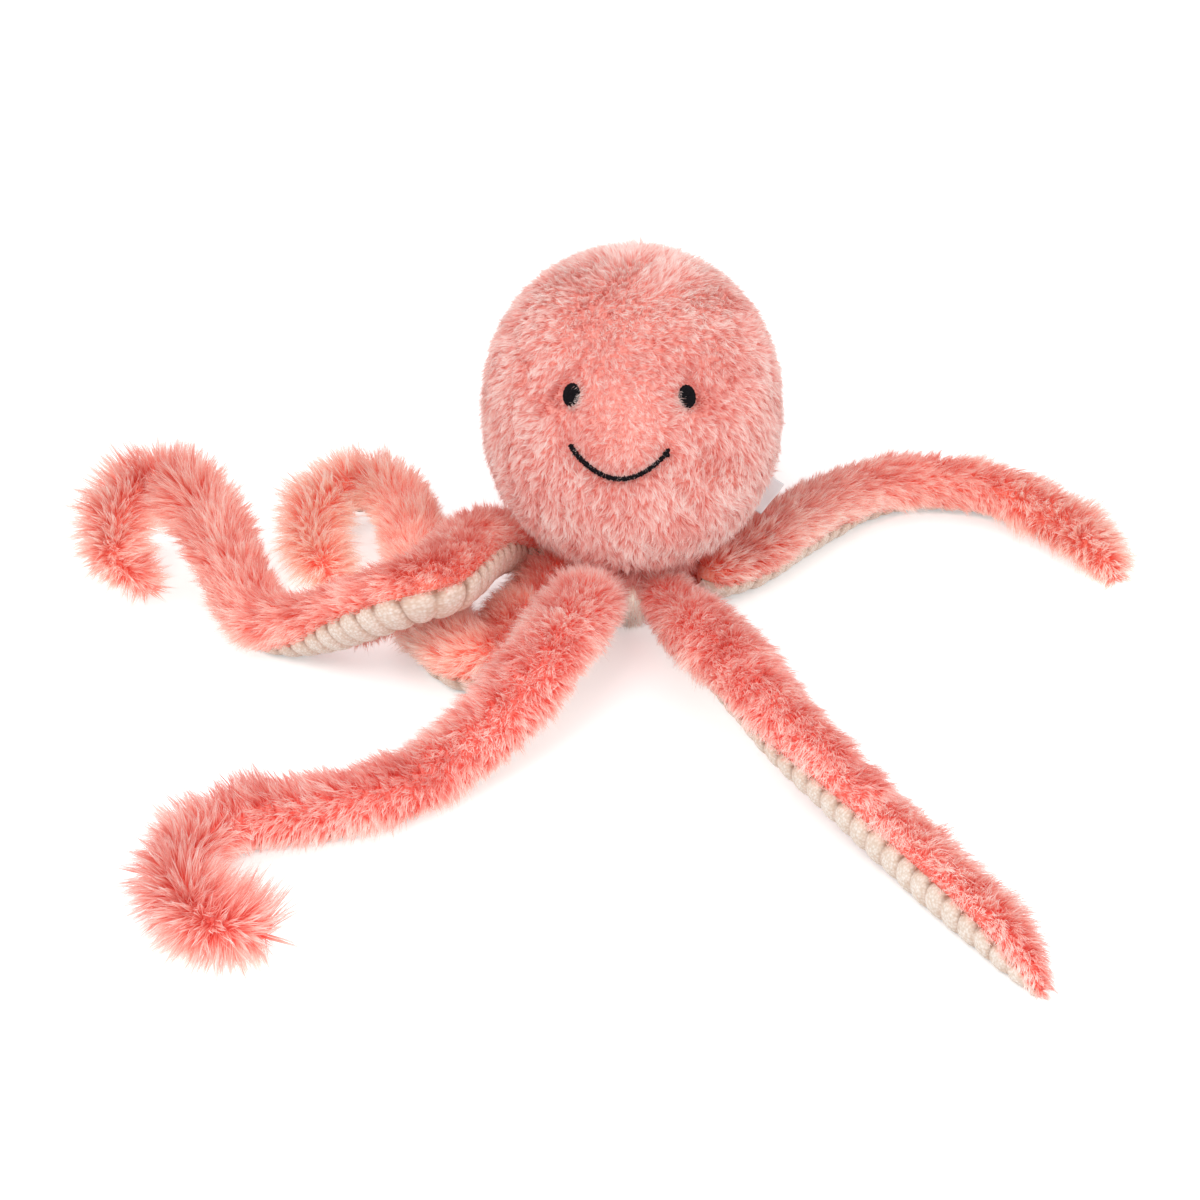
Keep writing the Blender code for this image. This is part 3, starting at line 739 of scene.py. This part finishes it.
def half_sizes(share):
    """A tentacle's half width and half height at shares of its length."""
    blend = smooth_step(share / root_blend_share, 0.0, 1.0)
    rows = np.array(taper_shares)
    width = swell_half_width * np.interp(share, rows[:, 0], rows[:, 1])
    half_width = root_radius + (width - root_radius) * blend
    return half_width, half_width * (1.0 + (flatness_share - 1.0) * blend)


def tentacle_line(spec, steps_per_rib):
    """The line along a tentacle's middle, at even steps from its root to its tip."""
    turn = math.radians(spec.ring_angle)
    radius = hub_radius + seam_gap + root_radius
    layer = 2.0 * swell_half_width * flatness_share + layer_gap
    root_layer = (root_height - half_sizes(0.0)[1] + floor_cut) / layer
    rows = [(radius * math.cos(turn), radius * math.sin(turn), root_layer, spec.path[0][3])]
    rows += [(x / 100.0 * tentacle_spread, y / 100.0 * tentacle_spread, height / 100.0, twist)
             for x, y, height, twist in spec.path]
    fine = smooth_curve(rows, 12)
    steps = np.diff(fine[:, :3] * np.array([1.0, 1.0, layer]), axis=0)
    lengths = np.concatenate([[0.0], np.cumsum(np.linalg.norm(steps, axis=1))])
    ribs = round(lengths[-1] / rib_pitch)
    share = np.linspace(0.0, 1.0, ribs * steps_per_rib + 1)
    x, y, height, twist = (np.interp(share * lengths[-1], lengths, column) for column in fine.T)
    half_width, half_height = half_sizes(share)
    centre = np.stack([x, y, half_height - floor_cut + height * layer], axis=-1)
    direction = unit(np.gradient(centre, axis=0))
    return Line(share, centre, half_width, half_height, np.radians(twist), direction, share * ribs)


def with_round_ends(line):
    """The line with small stations added before the root and beyond the tip, to close the ends."""
    share, centre, half_width, half_height, twist, direction, ribs = line
    cap = np.sin(np.radians(cap_angles))
    shrink = np.sqrt(1.0 - cap ** 2)
    same = np.ones(cap_rows)
    before, beyond = root_radius * cap, half_width[-1] * cap[::-1]
    ends = (
        (share[0] * same, share[-1] * same),
        (centre[0] - direction[0] * before[:, None], centre[-1] + direction[-1] * beyond[:, None]),
        (half_width[0] * shrink, half_width[-1] * shrink[::-1]),
        (half_height[0] * shrink, half_height[-1] * shrink[::-1]),
        (twist[0] * same, twist[-1] * same),
        (direction[0] * same[:, None], direction[-1] * same[:, None]),
        (-before / rib_pitch, ribs[-1] + beyond / rib_pitch),
    )
    return Line(*(np.concatenate([first, values, last]) for values, (first, last) in zip(line, ends)))


def tube_grid(line, degrees, depth):
    """Points round the line at angles from its top. depth may differ from point to point."""
    side = unit(np.cross(line.direction, upward))
    up = unit(np.cross(side, line.direction))
    turn = np.radians(degrees) + line.twist[:, None]
    depth = np.broadcast_to(depth, turn.shape)
    wide = np.maximum(line.half_width[:, None] - depth, 0.0001) * np.sin(turn)
    high = np.maximum(line.half_height[:, None] - depth, 0.0001) * np.cos(turn)
    grid = line.centre[:, None] + side[:, None] * wide[..., None] + up[:, None] * high[..., None]
    grid[..., 2] = np.maximum(grid[..., 2], cloth_floor)
    return grid


def tentacle_tufts(line, cloth, degrees, seam, style, rng):
    """A tentacle's pile, lying along it and falling outward, with a shorter undercoat at its tip.

    seam is the angle from the top at which the corduroy begins, and style says how the pile grows.
    """
    main = scatter(cloth, int(line.ribs[-1] * style["per_rib"]), rng)
    more = scatter(cloth[-tip_rows:], int(style["per_rib"] * tip_crowding * style["fluff"]), rng)
    under = np.concatenate([np.zeros(len(main[3])), np.ones(len(more[3]))])
    place, normal, along, i, j = (np.concatenate(pair) for pair in zip(main, more))
    i = i + under * (len(cloth) - tip_rows)
    angle = np.interp(j, np.arange(len(degrees)), degrees)
    share = np.interp(i, np.arange(len(line.share)), line.share)
    from_top = np.abs(angle)
    flank = smooth_step(from_top, 40.0, 100.0)
    root = smooth_fall(share, 0.03, 0.18)
    tip = smooth_step(share, 0.58, 0.88)
    last = smooth_step(share, 0.90, 1.0)

    side = np.cross(along, normal)
    fall = 0.60 * np.sin(np.radians(np.clip(angle * 0.9, -90.0, 90.0)))
    fall *= 1.0 - 0.75 * smooth_step(from_top, seam - 40.0, seam)
    turn = fall + 0.50 * waves(place, 0.045, 6, rng) + rng.normal(0.0, 0.25, len(place))
    comb = turned(along, side, turn)
    comb = comb + np.array(style["sweep"]) * (0.9 * last)[:, None]

    length = tentacle_pile * rng.uniform(0.78, 1.15, len(place)) * (1.0 + 0.13 * waves(place, 0.03, 5, rng))
    seam_trim = 0.64 * (1.0 - 0.7 * last) * smooth_step(from_top, seam - 34.0, seam)
    length *= (1.0 - seam_trim) * (1.0 + style["fluff"] * tip) * (1.0 - 0.28 * under)
    length *= (1.0 - style["trim"] * root * (0.25 + 0.75 * flank)) * (1.0 + style["tassel"] * last)
    length = np.minimum(length, longest_pile)

    lean = style["lay"] + 0.20 * waves(place, 0.016, 5, rng) + rng.normal(0.0, 0.13, len(place))
    lean -= 0.90 * style["fluff"] * tip + 0.30 * root

    # Painted light: the pile is paler along the tentacle's flanks, for light from the white surroundings
    shade = 0.46 + 0.20 * waves(place, 0.024, 5, rng) + rng.normal(0.0, 0.20, len(place)) + 0.26 * flank
    # Painted shade: deeper at the root, where the tentacle meets the body, and on the undercoat below the
    # top coat
    shade += style["tip_shade"] * tip + 0.12 * last - 0.12 * root - 0.12 * under
    shade += style["low_shade"] * smooth_fall(share, 0.42, 0.58)
    shade = np.maximum(shade, 0.34 * last)

    # None grow from the root's back, which is inside the body
    behind = np.sum((place - line.centre[cap_rows]) * line.direction[0], axis=1)
    keep = (behind > -0.75 * root_radius) | (share > 0.2)
    width = np.full(len(place), tentacle_strand_width)
    rows = [value[keep] for value in (place, normal, comb, length, lean, shade, width)]
    return strands(*rows, *tentacle_tuft, rng)


def cloth_places(piece, dark, along, across):
    """Stores on corduroy its painted shade (dark down in the grooves and, on the tentacles, under the
    pile's edge) and where on the cloth each point lies.
    """
    groove = piece.data.attributes.new("groove", "FLOAT", "POINT")
    groove.data.foreach_set("value", packed(np.clip(dark, 0.0, 1.0)))
    weave = piece.data.attributes.new("weave", "FLOAT_VECTOR", "POINT")
    weave.data.foreach_set("vector", packed(np.stack([along, across, np.zeros(across.shape)], axis=-1)))


def tentacle_corduroy(name, spec, material, seed):
    """The puffy ribs under a tentacle, with a deep narrow groove between each pair."""
    rng = np.random.default_rng(seed)
    line = with_round_ends(tentacle_line(spec, 14))
    half = cord_angle / 2.0
    edge = np.linspace(-1.0, 1.0, 19)
    ribs = line.ribs * (rib_pitch / cloth_rib_pitch)
    nearest_rib = np.round(ribs)
    across_rib = 2.0 * np.abs(ribs - nearest_rib)
    bulge = np.sqrt(np.clip(1.0 - across_rib ** 2.2, 0.0, 1.0))
    swell = rng.uniform(-rib_variation, rib_variation, int(nearest_rib[-1]) + 1)[nearest_rib.astype(int)]
    tuck = edge_tuck * smooth_step(np.abs(edge), 0.72, 1.0)
    depth = rib_depth * (1.0 - bulge)[:, None] * (1.0 - 0.25 * edge ** 2) + tuck
    depth = depth - rib_rise - (swell * bulge)[:, None]
    made = grid_object(name, tube_grid(line, 180.0 + np.linspace(-half, half, 19), depth), material)
    # Painted shade: dark down in each groove, more towards the edges, and darker along the edges under the
    # pile
    dark = (1.0 - bulge)[:, None] ** 1.1 * (0.70 + 0.30 * np.abs(edge))
    dark = dark + 0.50 * smooth_step(np.abs(edge), 0.50, 1.0)
    across = edge * line.half_width[:, None] * math.radians(half)
    along = np.broadcast_to((ribs * cloth_rib_pitch)[:, None], across.shape)
    cloth_places(made, dark, along, across)
    return made


# Face and trim

def embroidered_eye(name, degrees, material):
    """A satin-stitched oval: threads laid side by side over a low dome."""
    place, normal = head_point(eye_height, degrees, eye_half_thickness + 2.0 * seam_gap)
    across = unit(np.cross(upward, normal))
    up = np.cross(normal, across)
    r = np.concatenate([np.linspace(0.0, 1.0, 15), [1.02, 0.9]])[:, None]
    turn = np.linspace(0.0, 2.0 * math.pi, 73)[None, :-1]
    rough = 1.0 + 0.025 * np.sin(17.0 * turn + 0.7) * smooth_step(r, 0.7, 1.0)
    x, y = r * rough * np.cos(turn), r * rough * np.sin(turn)
    dome = np.sqrt(np.clip(1.0 - (np.minimum(r, 1.0) * 0.96) ** 2, 0.0, 1.0))
    across_stitches = (y + 0.25 * x) * eye_half_height
    threads = eye_stitch_height * np.cos(across_stitches * 2.0 * math.pi / eye_stitch_pitch)
    z = eye_half_thickness * 0.9 * dome + threads * smooth_fall(r, 0.8, 1.0)
    z[-1] = -eye_half_thickness
    z[-2] = -eye_half_thickness * 0.3
    points = (place + np.multiply.outer(x * eye_half_width, across)
              + np.multiply.outer(y * eye_half_height, up) + np.multiply.outer(z, normal))
    triangles = grid_triangles(*x.shape, closed=True)[:, ::-1]
    return new_object(name, points.reshape(-1, 3), triangles, material)


def thread_tube(line, normals, radius_of, sides, ridge):
    """A flattened tube of thread with ragged edges, whose slanting ridges show its stitches."""
    steps = np.linalg.norm(np.diff(line, axis=0), axis=1)
    along = np.concatenate([[0.0], np.cumsum(steps)])
    direction = unit(np.gradient(line, axis=0))
    across = unit(np.cross(direction, normals))
    turn = np.linspace(0.0, 2.0 * math.pi, sides + 1)[None, :-1]
    phase = 2.0 * math.pi * along[:, None] / mouth_stitch_pitch + np.sin(turn)
    edge = np.where(np.sin(turn) > 0.0, 0.0, 2.1)
    ragged = np.sin(along[:, None] * 3900.0 + edge) + np.sin(along[:, None] * 2600.0 + 2.0 * edge)
    rough = 1.0 + ridge * np.cos(phase) + 0.10 * ragged * np.abs(np.sin(turn))
    radius = radius_of(along)[:, None] * rough
    offset = (across[:, None] * (radius * np.sin(turn))[..., None]
              + normals[:, None] * (0.55 * radius * np.cos(turn))[..., None])
    grid = line[:, None] + offset
    return grid.reshape(-1, 3), grid_triangles(*grid.shape[:2], closed=True)


def embroidered_mouth(name, material):
    """The smile in thick thread, with a short stitch across its right corner."""
    line, normals = mouth_points(240)
    length = np.sum(np.linalg.norm(np.diff(line, axis=0), axis=1))

    def blunt(along, full=length):
        """The thread's radius along it: a little thinner towards the right, with round ends."""
        share = np.minimum(along, full - along) / mouth_thread_radius
        thick = 1.12 - 0.26 * along / full
        thick = thick + 0.07 * np.sin(along * 1460.0) + 0.06 * np.sin(along * 2330.0 + 1.0)
        round_end = np.sqrt(np.clip(share * (2.0 - np.minimum(share, 1.0)), 0.0004, 1.0))
        return mouth_thread_radius * thick * round_end

    points, triangles = thread_tube(line, normals, blunt, 16, 0.16)
    corner, outward = line[-10], normals[-10]
    reach = unit(np.cross(outward, line[-1] - line[-12]))
    tick = corner + np.linspace(-mouth_tick_half, mouth_tick_half * 0.7, 40)[:, None] * reach[None]
    tick_length = mouth_tick_half * 1.7
    tick_points, tick_triangles = thread_tube(
        tick, np.repeat(outward[None], 40, 0), lambda along: 0.75 * blunt(along, tick_length), 12, 0.12)
    triangles = np.concatenate([triangles, tick_triangles + len(points)])[:, ::-1]
    return new_object(name, np.concatenate([points, tick_points]), triangles, material)


def folded_label(name, material):
    """A blank ribbon folded in two, its fold outward and its ends sewn into the side seam."""
    place, normal = head_point(label_height, label_angle, label_thickness / 2.0 + 2.0 * seam_gap)
    across = np.array([0.0, 1.0, 0.0])
    along = unit(np.cross(across, normal))
    bow = label_thickness * 0.30
    bend = np.linspace(-math.pi / 2.0, math.pi / 2.0, 9)
    seat = -label_thickness * 0.5
    top = label_reach - label_thickness + label_show
    reach = np.concatenate([np.linspace(seat, top, 9)[:-1], top + bow * np.cos(bend),
                            np.linspace(top, seat, 9)[1:]])
    offset = np.concatenate([np.full(8, -bow), bow * np.sin(bend), np.full(8, bow)])
    share = np.linspace(-0.5, 0.5, 25)
    down = (share * (label_length + label_extra))[:, None, None] * along
    curl = 0.0002 * np.sin(share * 9.0)
    aside = offset + curl[:, None] * (reach / label_reach)
    grid = place + down + reach[:, None] * normal + aside[..., None] * across
    made = grid_object(name, grid, material)
    thicken(made, ribbon_wall, 0.0)
    return made


def base_cloth(name, material):
    """The round panel under the toy, ribbed like the tentacles' undersides."""
    share = np.linspace(-1.0, 1.0, 61)
    x, y = np.meshgrid(share, share, indexing="ij")
    far = np.maximum(np.abs(x), np.abs(y))
    flat = np.sqrt(x ** 2 + y ** 2)
    scale = np.where(flat > 0.0, far / np.maximum(flat, 1e-9), 0.0)
    px, py = x * scale * hub_radius, y * scale * hub_radius
    # dark sets the grooves' depth and also paints shade down in them
    dark = np.clip(1.0 - np.abs(np.sin(math.pi * px / base_rib_pitch)) ** 0.35, 0.0, 1.0)
    made = grid_object(name, np.stack([px, py, 0.0001 + 0.0012 * dark], axis=-1), material)
    cloth_places(made, dark, px, py)
    thicken(made, base_thickness - 0.0016, -1.0)
    return made


def base_fluff(name, material):
    """The cream tuft that shows at the front of the base, between the two front tentacles."""
    rng = np.random.default_rng(71)
    middle = 0.5 * (tentacles["front_left"].ring_angle + tentacles["front_right"].ring_angle)
    turn = np.radians(middle + rng.uniform(-8.0, 8.0, cream_tufts))
    out = np.stack([np.cos(turn), np.sin(turn), np.zeros(cream_tufts)], axis=-1)
    height = rng.uniform(base_thickness, 0.022, cream_tufts)
    place = out * hub_radius + upward * height[:, None]
    comb = -upward + out * 0.2 + rng.normal(0.0, 0.5, (cream_tufts, 3))
    length = rng.uniform(0.008, 0.013, cream_tufts)
    lean = rng.uniform(0.35, 0.85, cream_tufts)
    shade = rng.uniform(0.35, 0.62, cream_tufts)
    width = np.full(cream_tufts, cream_strand_width)
    return pile(name, strands(place, out, comb, length, lean, shade, width, *cream_tuft, rng), material)


# Pieces

head_pile_material = pile_material(
    "head_pile", (0.82, 0.34, 0.29), (0.88, 0.58, 0.53), (0.95, 0.85, 0.81), sheen=0.60, see_through=0.42)
leg_pile_material = pile_material(
    "leg_pile", (0.90, 0.19, 0.14), (0.94, 0.53, 0.46), (0.97, 0.87, 0.83), sheen=0.60, see_through=0.55)
curl_pile_material = pile_material(
    "curl_pile", (0.90, 0.20, 0.13), (0.93, 0.49, 0.41), (0.97, 0.86, 0.80), sheen=0.60, see_through=0.55)
# left_front's pile: the curl colours painted lighter, as painted light on a curl that lies in shade
painted_light_pile_material = pile_material(
    "painted_light_pile", (0.98, 0.28, 0.18), (0.97, 0.58, 0.48), (0.98, 0.85, 0.79), sheen=0.70, see_through=0.58)
fluff_material = pile_material(
    "cream_fluff", (0.93, 0.80, 0.70), (0.97, 0.90, 0.83), (0.98, 0.96, 0.92), sheen=0.50, see_through=0.42)
corduroy = corduroy_material("cream_corduroy_cloth")
thread = thread_material("black_embroidery")
ribbon = ribbon_material("white_label_ribbon")
head_backing = nap_material("head_backing", (0.81, 0.29, 0.24), (0.88, 0.47, 0.41))
leg_backing = nap_material("leg_backing", (0.89, 0.20, 0.15), (0.94, 0.38, 0.32))
curl_backing = nap_material("curl_backing", (0.92, 0.25, 0.17), (0.95, 0.42, 0.33))


def dress_head(side_name, start, end, count, nodes, seed):
    """One panel of the head, between two angles: its cloth and its pile."""
    rng = np.random.default_rng(seed)
    cloth = head_relief(head_grid(start, end, 61))
    under = grid_object(f"head_{side_name}_backing", cloth, head_backing)
    tufts = head_tufts(cloth, count, side_name == "front", rng)
    over = pile(f"head_{side_name}_pile", tufts, head_pile_material)
    for piece in (under, over):
        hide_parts(*nodes)
        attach(piece, "head")


dress_head("front", 0.0, -180.0, head_front_tufts, ("head_front_skin", "head_filling", "bean_bag"), 11)
dress_head("back", 180.0, 0.0, head_back_tufts, ("head_back_skin",), 12)

base = base_cloth("base_cloth", corduroy)
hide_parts("base_panel")
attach(base, "head")

fluff = base_fluff("base_fluff", fluff_material)
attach(fluff, "head")

for node, eye_angle in eye_angles.items():
    eye = embroidered_eye(f"{node}_stitching", eye_angle, thread)
    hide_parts(node)
    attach(eye, "head")

mouth = embroidered_mouth("smile_stitching", thread)
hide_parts("mouth_stitching")
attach(mouth, "head")

label = folded_label("ribbon_label", ribbon)
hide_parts("side_label")
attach(label, "label")


def dress_tentacle(tentacle_name, spec, pile_look, cloth_look, seed):
    """One tentacle: its cloth and its pile on top, and its corduroy underneath."""
    rng = np.random.default_rng(seed)
    line = with_round_ends(tentacle_line(spec, 5))
    seam = 180.0 - cord_angle / 2.0
    degrees = np.linspace(-seam - 3.0, seam + 3.0, 27)
    cloth = tube_grid(line, degrees, cloth_depth)
    body = f"{tentacle_name}_tentacle"
    under = grid_object(f"{tentacle_name}_backing", cloth, cloth_look)
    style = {**plain_pile, **own_pile[tentacle_name]}
    over = pile(f"{tentacle_name}_pile", tentacle_tufts(line, cloth, degrees, seam, style, rng), pile_look)
    for piece in (under, over):
        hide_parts(f"{body}_fur", f"{body}_filling")
        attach(piece, body)
    cord = tentacle_corduroy(f"{tentacle_name}_corduroy", spec, corduroy, seed + 30)
    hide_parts(f"{body}_cord")
    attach(cord, body)


pile_looks = {
    "left": (curl_pile_material, curl_backing),
    "right": (curl_pile_material, curl_backing),
    # left_front takes the pile painted lighter, painted light on its shaded curl
    "left_front": (painted_light_pile_material, curl_backing),
}
for number, (each_name, each_spec) in enumerate(tentacles.items()):
    looks = pile_looks.get(each_name, (leg_pile_material, leg_backing))
    dress_tentacle(each_name, each_spec, *looks, 30 + number)


# Stage, light and camera

def add_seen_rays(tree, low, high):
    """high for rays that come from the camera, straight or by gloss or glass, and low for others."""
    path = tree.nodes.new("ShaderNodeLightPath").outputs
    seen = path["Is Camera Ray"]
    for kind in ("Is Glossy Ray", "Is Transmission Ray"):
        either = tree.nodes.new("ShaderNodeMath")
        either.operation = "MAXIMUM"
        tree.links.new(seen, either.inputs[0])
        tree.links.new(path[kind], either.inputs[1])
        seen = either.outputs["Value"]
    level = tree.nodes.new("ShaderNodeMapRange")
    set_inputs(level, {"To Min": low, "To Max": high})
    tree.links.new(seen, level.inputs["Value"])
    return level.outputs["Result"]


def pale_floor():
    """A floor that takes soft shadows and glows a little, so that it looks white."""
    mesh = bpy.data.meshes.new("floor")
    half = 6.0
    mesh.from_pydata([(-half, -half, 0.0), (half, -half, 0.0), (half, half, 0.0), (-half, half, 0.0)],
                     [], [(0, 1, 2, 3)])
    floor = add_object("floor", mesh)
    look = Look("pale_floor")
    set_inputs(look.shader, {
        "Base Color": (0.86, 0.86, 0.86, 1.0), "Roughness": 0.95, "Specular IOR Level": 0.0})
    glow = look.node("ShaderNodeEmission", Color=(*white, 1.0))
    look.link(add_seen_rays(look.material.node_tree, 0.0, 0.36), glow.inputs["Strength"])
    both = look.node("ShaderNodeAddShader")
    look.link(look.shader.outputs["BSDF"], both.inputs[0])
    look.link(glow.outputs["Emission"], both.inputs[1])
    look.output(both.outputs["Shader"])
    mesh.materials.append(look.material)


def soft_world():
    """White all round, and a little dimmer as a light than as a background."""
    world = bpy.data.worlds.new("studio")
    world.use_nodes = True
    bpy.context.scene.world = world
    tree = world.node_tree
    background = tree.nodes["Background"].inputs
    background["Color"].default_value = (*white, 1.0)
    tree.links.new(add_seen_rays(tree, 0.90, 1.0), background["Strength"])


def area_light(name, place, target, size, power):
    lamp = bpy.data.lights.new(name, "AREA")
    lamp.shape = "DISK"
    lamp.size = size
    lamp.energy = power
    light = add_object(name, lamp)
    light.location = place
    light.rotation_euler = (Vector(target) - Vector(place)).to_track_quat("-Z", "Y").to_euler()


pale_floor()
soft_world()
toy_middle = (0.0, 0.0, 0.05)
area_light("key", (-0.9, -1.0, 1.7), toy_middle, 1.1, 13.0)
area_light("fill", (1.4, -0.7, 1.2), toy_middle, 1.3, 6.0)

camera_drop = 31.2
camera_data = bpy.data.cameras.new("camera")
camera_data.lens = 69.3
camera_data.sensor_width = 36.0
camera = add_object("camera", camera_data)
camera.location = (-0.01725609, -1.10858136, 0.66265399)
camera.rotation_euler = (math.radians(90.0 - camera_drop), 0.0, 0.0)
bpy.context.scene.camera = camera
bpy.context.scene.view_settings.view_transform = "Standard"
